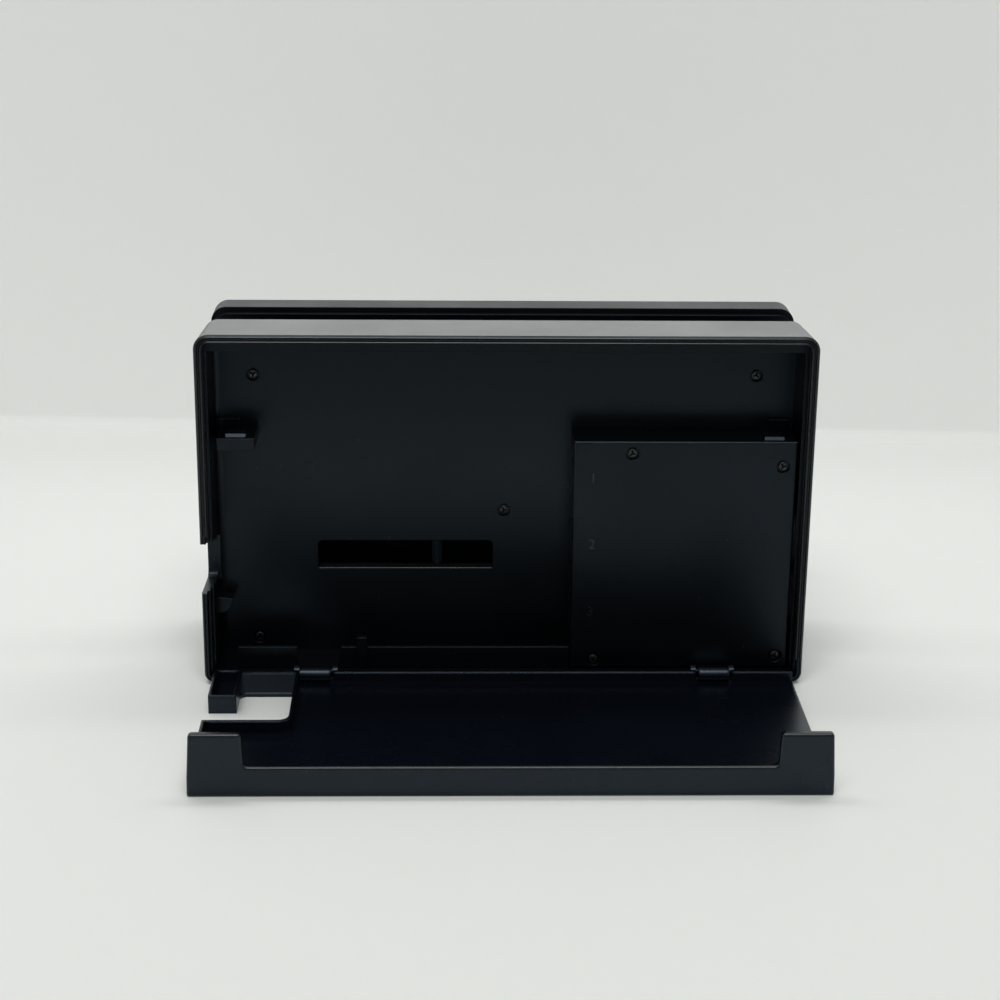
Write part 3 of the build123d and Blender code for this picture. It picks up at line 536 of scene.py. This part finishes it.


# Plain moulded numbers beside the three ports, glossier than the housing, their lighter colour a painted
# highlight
numerals = {
    "size": 4.2 * millimetre,
    "rise": 0.10 * millimetre,
    "edge": 0.02 * millimetre,
    "inset": 5.6 * millimetre,
    "heights": (61.0 * millimetre, 41.0 * millimetre, 20.3 * millimetre),
}
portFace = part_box("port_cover")
for index, height in enumerate(numerals["heights"], 1):
    clearSelection()
    bpy.ops.object.text_add()
    numeral = bpy.context.object
    numeral.name = f"portNumeral{index}"
    numeral.data.body = str(index)
    numeral.data.size = numerals["size"]
    numeral.data.extrude = numerals["rise"]
    numeral.data.bevel_depth = numerals["edge"]
    numeral.data.align_x = "CENTER"
    numeral.data.align_y = "CENTER"
    bpy.ops.object.convert(target="MESH")
    numeral = bpy.context.object
    numeral.location = (portFace[1][0] - numerals["inset"], portFace[1][1], height)
    numeral.rotation_euler = (pi / 2, 0, pi)
    applyPlace(numeral)
    dress(numeral, numberSkin, "dock")
print("stage: port numbers")


# Gold contacts in the ports and in the console plug
contacts = {
    "thick": 0.05 * millimetre,
    "length": 4.4 * millimetre,
    "round": 0.015 * millimetre,
    "setback": 0.4 * millimetre,
    "power": {"count": 6, "pitch": 0.95 * millimetre, "width": 0.5 * millimetre},
    "data": {"count": 4, "pitch": 2.3 * millimetre, "width": 1.1 * millimetre},
    "video": {"count": 10, "pitch": 1.1 * millimetre, "width": 0.5 * millimetre},
    "plug": {"count": 8, "pitch": 0.75 * millimetre, "width": 0.35 * millimetre, "length": 4.6 * millimetre,
             "setback": 0.6 * millimetre, "halfWell": 0.55 * millimetre},
}


def contactRow(name, spec, middle, along, across, away):
    row = addBlock(name, (spec.get("length", contacts["length"]), spec["width"], contacts["thick"]))
    selectFaces(row, lambda centre, normal: normal.z > squarely)
    bpy.ops.mesh.bevel(offset=contacts["round"], segments=2)
    bpy.ops.object.mode_set(mode="OBJECT")
    repeat = row.modifiers.new("repeat", "ARRAY")
    repeat.count = spec["count"]
    repeat.use_relative_offset = False
    repeat.use_constant_offset = True
    repeat.constant_offset_displace = (0, spec["pitch"], 0)
    applyModifiers(row)
    start = Matrix.Translation((0, -spec["pitch"] * (spec["count"] - 1) / 2, 0))
    turn = Matrix((along, across, away)).transposed().to_4x4()
    row.matrix_world = Matrix.Translation(middle) @ turn @ start
    applyPlace(row)
    return row


tongueBoxes = islandsOf("port_tongues")
sideBoxes = sorted(tongueBoxes[:2], key=lambda box: box[0].z)
frontBoxes = sorted(tongueBoxes[2:], key=lambda box: -box[0].z)
tongues = dict(zip(("power", "data", "video"), frontBoxes))
tongues.update(zip(("sideLow", "sideHigh"), sideBoxes))
alongX, acrossX, upX = Vector((1, 0, 0)), Vector((0, 0, -1)), Vector((0, 1, 0))
for tongueName, (low, high) in tongues.items():
    spec = contacts.get(tongueName, contacts["data"])
    towardsMouth = -1 if tongueName.startswith("side") else 1
    mouthX = low.x if towardsMouth < 0 else high.x
    middle = Vector((mouthX - towardsMouth * (contacts["length"] / 2 + contacts["setback"]),
                     high.y, (low.z + high.z) / 2))
    row = contactRow(f"{tongueName}Contacts", spec, middle, alongX, acrossX, upX)
    dress(row, contactGold, "dock")

plugLow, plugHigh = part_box("console_plug")
for side, label in ((1, "Rear"), (-1, "Front")):
    spec = contacts["plug"]
    middle = Vector(((plugLow[0] + plugHigh[0]) / 2,
                     (plugLow[1] + plugHigh[1]) / 2 + side * spec["halfWell"],
                     plugHigh[2] - spec["length"] / 2 - spec["setback"]))
    row = contactRow(f"plugContacts{label}", spec, middle, Vector((0, 0, 1)),
                     Vector((-side, 0, 0)), Vector((0, -side, 0)))
    dress(row, contactGold, "plug")
print("stage: contacts")


# Rubber feet: a pad with a rounded rim and a shallow ring
footPad = {
    "sides": 64,
    "rim": 0.25 * millimetre,
    "ringInset": 0.9 * millimetre,
    "ringWidth": 0.3 * millimetre,
    "ringDepth": 0.12 * millimetre,
}
footBoxes = islandsOf("rubber_feet")
footSize = footBoxes[0][1] - footBoxes[0][0]
clearSelection()
bpy.ops.mesh.primitive_cylinder_add(vertices=footPad["sides"], radius=footSize.x / 2, depth=footSize.z)
padPattern = bpy.context.object
footBottom = hair - footSize.z / 2
selectEdges(padPattern, lambda a, b: max(a.z, b.z) < footBottom)
bpy.ops.mesh.bevel(offset=footPad["rim"], segments=3)
selectFaces(padPattern, lambda centre, normal: normal.z < -squarely)
bpy.ops.mesh.inset(thickness=footPad["ringInset"])
bpy.ops.mesh.inset(thickness=footPad["ringWidth"])
bpy.ops.transform.translate(value=(0, 0, footPad["ringDepth"]))
bpy.ops.object.mode_set(mode="OBJECT")
for index, (low, high) in enumerate(footBoxes, 1):
    pad = copyOf(padPattern, f"footPad{index}")
    pad.location = (low + high) / 2
    applyPlace(pad)
    dress(pad, footRubber, "dock")
    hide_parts("rubber_feet")
bpy.data.objects.remove(padPattern)
print("stage: rubber feet")


# Two rounded lips on the rear rim: one at its outer edge, one where the rebate begins
rimLips = {
    "thick": 0.26,
    "notchTop": 45.5,
    "foot": 8.0,
    "cornerSteps": 8,
    "roundSteps": 3,
    "outer": {"side": 0.62, "top": 0.62, "depth": 0.10, "corner": 3.5},
    "inner": {"side": 1.95, "top": 1.95, "depth": 0.10, "corner": 2.4},
}
beadSize = inMetres(rimLips)
housingLow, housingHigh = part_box("rear_housing")
for lipName in ("outer", "inner"):
    lip = inMetres(rimLips[lipName])
    clearSelection()
    bpy.ops.mesh.primitive_plane_add(size=1.0)
    loop = bpy.context.object
    loop.name = f"{lipName}RimLip"
    rightX, leftX = housingLow[0] + lip["side"], housingHigh[0] - lip["side"]
    topZ = housingHigh[2] - lip["top"]
    loop.scale = (leftX - rightX, topZ - beadSize["foot"], 1.0)
    loop.rotation_euler = (pi / 2, 0, 0)
    loop.location = ((leftX + rightX) / 2, rimY - lip["depth"], (topZ + beadSize["foot"]) / 2)
    applyPlace(loop)
    bpy.ops.object.mode_set(mode="EDIT")
    bpy.ops.mesh.delete(type="ONLY_FACE")
    selectEdges(loop, lambda a, b: max(a.z, b.z) < topZ - hair)
    bpy.ops.mesh.delete(type="EDGE")
    selectPoints(loop, lambda point: point.z < topZ - hair and point.x > 0)
    bpy.ops.transform.translate(value=(0, 0, beadSize["notchTop"] - beadSize["foot"]))
    selectPoints(loop, lambda point: point.z > topZ - hair)
    bpy.ops.mesh.bevel(offset=lip["corner"], segments=rimLips["cornerSteps"], affect="VERTICES")
    bpy.ops.object.mode_set(mode="OBJECT")
    bpy.ops.object.convert(target="CURVE")
    loop = bpy.context.object
    loop.data.bevel_depth = beadSize["thick"]
    loop.data.bevel_resolution = rimLips["roundSteps"]
    loop.data.use_fill_caps = True
    bpy.ops.object.convert(target="MESH")
    # the lips take the lighter colour of a painted highlight
    dress(bpy.context.object, paintedHighlightSkin, "dock")
print("stage: rim lips")


# Rounded foot of the vent in the cavity floor
ventSill = {
    "right": 3.3,
    "left": 54.2,
    "top": 28.98,
    "depth": 20.2,
    "proud": 0.12,
    "size": 0.9,
    "edge": 0.3,
}
sillSize = inMetres(ventSill)
sillMiddle = ((sillSize["left"] + sillSize["right"]) / 2,
              rimY - sillSize["depth"] + sillSize["proud"] - sillSize["size"] / 2,
              sillSize["top"] - sillSize["size"] / 2)
sillReach = (sillSize["left"] - sillSize["right"], sillSize["size"], sillSize["size"])
sill = addBlock("ventSill", sillReach, sillMiddle)
roundEdges(sill, sillSize["edge"])
# the sill takes the lighter colour of a painted highlight
dress(sill, paintedHighlightSkin, "dock")
print("stage: vent sill")


# Lip of the rear cover with its two tall ears, its edges rounded, fitted over the plain wall
coverLip = {
    "proud": 0.19,
    "lift": 0.02,
    "thick": 2.38,
    "lipHeight": 8.29,
    "earHeight": 17.49,
    "earWidth": 14.69,
    "wallTop": 5.5,
    "wallTaper": 0.11,
    "lipTaper": 0.27,
    "earTaper": 0.80,
    "slope": 0.4,
    "earRound": 0.9,
    "innerRound": 0.80,
    "footRound": 1.2,
    "straight": 3.0,
    "edge": 0.65,
    "cornerSteps": 5,
    "shine": (0.15, 0.98),  # rounded faces that look partly to the rear, towards the lamps; they take the painted highlight colour
}
lipSize = inMetres(coverLip)
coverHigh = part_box("rear_cover")[1]
lipHalf = coverHigh[0] + lipSize["proud"]
lipFace = coverHigh[1] + lipSize["proud"]
earFoot = lipHalf - lipSize["earWidth"]


def alongY(a, b, sideX, levelZ):  # an edge through the plate's thickness, at one place across and one height
    return all(abs(end.x - sideX) < hair and abs(end.z - levelZ) < hair for end in (a, b))


lipPlate = addBlock("coverLip", (2 * lipHalf, lipSize["thick"], lipSize["lipHeight"] - lipSize["lift"]),
                    (0, lipFace - lipSize["thick"] / 2, (lipSize["lipHeight"] + lipSize["lift"]) / 2))
bpy.ops.object.mode_set(mode="EDIT")
for cutPlace, cutNormal in (((-earFoot, 0, 0), (1, 0, 0)), ((earFoot, 0, 0), (1, 0, 0)),
                            ((0, 0, lipSize["wallTop"]), (0, 0, 1))):
    bpy.ops.mesh.select_all(action="SELECT")
    bpy.ops.mesh.bisect(plane_co=cutPlace, plane_no=cutNormal)
selectFaces(lipPlate, lambda centre, normal: normal.z > squarely and abs(centre.x) > earFoot)
bpy.ops.mesh.extrude_region_move(
    TRANSFORM_OT_translate={"value": (0, 0, lipSize["earHeight"] - lipSize["lipHeight"])})
for sideX, levelZ, shift in (
        (lipHalf, lipSize["wallTop"], -lipSize["wallTaper"]),
        (lipHalf, lipSize["lipHeight"], -lipSize["lipTaper"]),
        (lipHalf, lipSize["earHeight"], -lipSize["earTaper"]),
        (earFoot, lipSize["earHeight"], lipSize["slope"])):
    for sign in (1, -1):
        selectEdges(lipPlate, lambda a, b: alongY(a, b, sign * sideX, levelZ))
        bpy.ops.transform.translate(value=(sign * shift, 0, 0))
bpy.ops.mesh.select_all(action="SELECT")
bpy.ops.mesh.dissolve_limited(angle_limit=radians(1))
for cornerX, cornerZ, radius in (
        (lipHalf - lipSize["earTaper"], lipSize["earHeight"], lipSize["earRound"]),
        (earFoot + lipSize["slope"], lipSize["earHeight"], lipSize["innerRound"]),
        (earFoot, lipSize["lipHeight"], lipSize["footRound"])):
    selectEdges(lipPlate, lambda a, b: any(alongY(a, b, sign * cornerX, cornerZ) for sign in (1, -1)))
    bpy.ops.mesh.bevel(offset=radius, segments=coverLip["cornerSteps"])
for sign in (1, -1):  # the long faces end short of the ears' feet, so that they shade evenly
    bpy.ops.mesh.select_all(action="SELECT")
    bpy.ops.mesh.bisect(plane_co=(sign * (earFoot - lipSize["straight"]), 0, 0), plane_no=(1, 0, 0))
bpy.ops.object.mode_set(mode="OBJECT")
roundEdges(lipPlate, lipSize["edge"])
dress(lipPlate, coverSkin, "cover")
# faces looking partly to the rear get the lighter colour: a painted highlight along the lip and ears
lipPlate.data.materials.append(paintedHighlightSkin)
shineLow, shineHigh = coverLip["shine"]
for face in lipPlate.data.polygons:
    face.material_index = 1 if shineLow < face.normal.y < shineHigh else 0
lipPlate.modifiers.new("evenShade", "WEIGHTED_NORMAL")
applyModifiers(lipPlate)
print("stage: cover lip")


# Floor and backdrop, lamps and camera
studio = {
    "width": 6.0,
    "nearEdge": 3.0,
    "wallY": -0.262,
    "wallTurn": 0.05,
    "wallHeight": 3.0,
    "sweep": 0.005,
    "sweepSteps": 12,
    "wallStart": 0.004,
    "toothScale": 300.0,
    "toothStrength": 0.05,
    "toothDepth": 0.00005,
    "rough": 0.9,
    "mirror": 0.1,
    "floorColour": (0.733, 0.746, 0.724),
    "wallColour": (0.960, 0.968, 0.950),
    "farColour": (0.30, 0.31, 0.30),
    "farStart": 0.18,
    "farEnd": 0.30,
    "worldColour": (0.22, 0.225, 0.22),
}


def paperFinish(name):
    material, tree, shader, coords = startMaterial(name)
    tooth = noiseOf(tree, coords, studio["toothScale"], detail=3.0)
    place = tree.nodes.new("ShaderNodeSeparateXYZ")
    tree.links.new(coords.outputs["Object"], place.inputs["Vector"])
    ray = tree.nodes.new("ShaderNodeLightPath")
    rise = spreadOf(tree, place.outputs["Z"], 0.0, studio["wallStart"], 0.0, 1.0)
    # Beyond farStart the floor darkens for every ray except camera rays, so the dock mirrors and receives
    # less light from there: a painted dark reflection of an unlit room
    away = spreadOf(tree, place.outputs["Y"], studio["farStart"], studio["farEnd"], 0.0, 1.0)
    dim = productOf(tree, away, spreadOf(tree, ray.outputs["Is Camera Ray"], 0.0, 1.0, 1.0, 0.0))
    ground = blendOf(tree, dim, studio["floorColour"], studio["farColour"])
    tree.links.new(blendOf(tree, rise, ground, studio["wallColour"]), shader.inputs["Base Color"])
    relief = bumpOf(tree, tooth, studio["toothStrength"], studio["toothDepth"], 0.0)
    tree.links.new(relief, shader.inputs["Normal"])
    shader.inputs["Roughness"].default_value = studio["rough"]
    shader.inputs["Specular IOR Level"].default_value = studio["mirror"]
    side = tree.nodes.new("ShaderNodeNewGeometry")  # seen from outside the set, the paper is clear
    clear = tree.nodes.new("ShaderNodeBsdfTransparent")
    choice = tree.nodes.new("ShaderNodeMixShader")
    outside = productOf(tree, side.outputs["Backfacing"], ray.outputs["Is Camera Ray"])
    tree.links.new(outside, choice.inputs[0])
    tree.links.new(shader.outputs["BSDF"], choice.inputs[1])
    tree.links.new(clear.outputs["BSDF"], choice.inputs[2])
    tree.links.new(choice.outputs["Shader"], tree.nodes["Material Output"].inputs["Surface"])
    return material


clearSelection()
bpy.ops.mesh.primitive_plane_add(size=1.0)
paper = bpy.context.object
paper.name = "paperSweep"
paper.scale = (studio["width"], studio["nearEdge"] - studio["wallY"], 1.0)
paper.location = (0.0, (studio["nearEdge"] + studio["wallY"]) / 2, 0.0)
applyPlace(paper)
nearWall = studio["wallY"] + hair
selectEdges(paper, lambda a, b: max(a.y, b.y) < nearWall)
bpy.ops.mesh.extrude_region_move(TRANSFORM_OT_translate={"value": (0, 0, studio["wallHeight"])})
selectEdges(paper, lambda a, b: max(a.y, b.y) < nearWall and max(a.z, b.z) < hair)
bpy.ops.mesh.bevel(offset=studio["sweep"], segments=studio["sweepSteps"])
bpy.ops.mesh.select_all(action="SELECT")
bpy.ops.transform.rotate(value=studio["wallTurn"], orient_axis="Z",
                         center_override=(0.0, studio["wallY"], 0.0))
bpy.ops.object.mode_set(mode="OBJECT")
bpy.ops.object.shade_smooth_by_angle(angle=smoothAngle)
paper.data.materials.append(paperFinish("paperFinish"))

world = bpy.data.worlds.new("roomLight")
bpy.context.scene.world = world
world.use_nodes = True
world.node_tree.nodes["Background"].inputs["Color"].default_value = (*studio["worldColour"], 1.0)
world.node_tree.nodes["Background"].inputs["Strength"].default_value = 1.0

lamps = {
    "keyPanel": {"place": (0.20, 1.00, 1.70), "aim": (0.0, 0.0, 0.03), "size": (2.1, 1.6), "power": 4.1},
    "edgePanel": {"place": (0.07, 0.74, 1.55), "aim": (0.0, 0.0, 0.05), "size": (0.95, 0.55), "power": 11.5},
    "wallWash": {"place": (0.0, -0.20, 0.85), "aim": (0.0, -0.199, 0.0), "size": (1.6, 0.10), "power": 2.6},
    "backStrip": {"place": (0.0, -0.235, 0.165), "aim": (0.0, 0.30, 0.165), "size": (0.44, 0.10),
                  "power": 0.13},
}
for lampName, lamp in lamps.items():
    clearSelection()
    bpy.ops.object.light_add(type="AREA", location=lamp["place"])
    panel = bpy.context.object
    panel.name = lampName
    panel.data.shape = "RECTANGLE"
    panel.data.size, panel.data.size_y = lamp["size"]
    panel.data.energy = lamp["power"]
    panel.visible_camera = False
    panel.rotation_euler = (Vector(lamp["aim"]) - Vector(lamp["place"])).to_track_quat("-Z", "Y").to_euler()

view = {  # where the photograph was taken from, in the frame
    "place": (0.0178476, rimY + 0.564629, 0.2456823),
    "turn": 0.0285,
    "tilt": 0.3230,
    "roll": 0.0104,
    "lens": 76.155,
    "sensor": 36.0,
    "nearest": 0.01,
}
level = cos(view["tilt"])
forward = Vector((-sin(view["turn"]) * level, -cos(view["turn"]) * level, -sin(view["tilt"])))
right = Vector((-cos(view["turn"]), sin(view["turn"]), 0.0))
up = right.cross(forward)
across = right * cos(view["roll"]) + up * sin(view["roll"])
upright = up * cos(view["roll"]) - right * sin(view["roll"])
clearSelection()
bpy.ops.object.camera_add(location=view["place"])
camera = bpy.context.object
camera.name = "photoCamera"
camera.data.lens = view["lens"]
camera.data.sensor_width = view["sensor"]
camera.data.clip_start = view["nearest"]
aim = Matrix((across, upright, -forward)).transposed().to_4x4()
camera.matrix_world = Matrix.Translation(view["place"]) @ aim
bpy.context.scene.camera = camera
bpy.context.scene.view_settings.view_transform = "Standard"
print("stage: studio and camera")
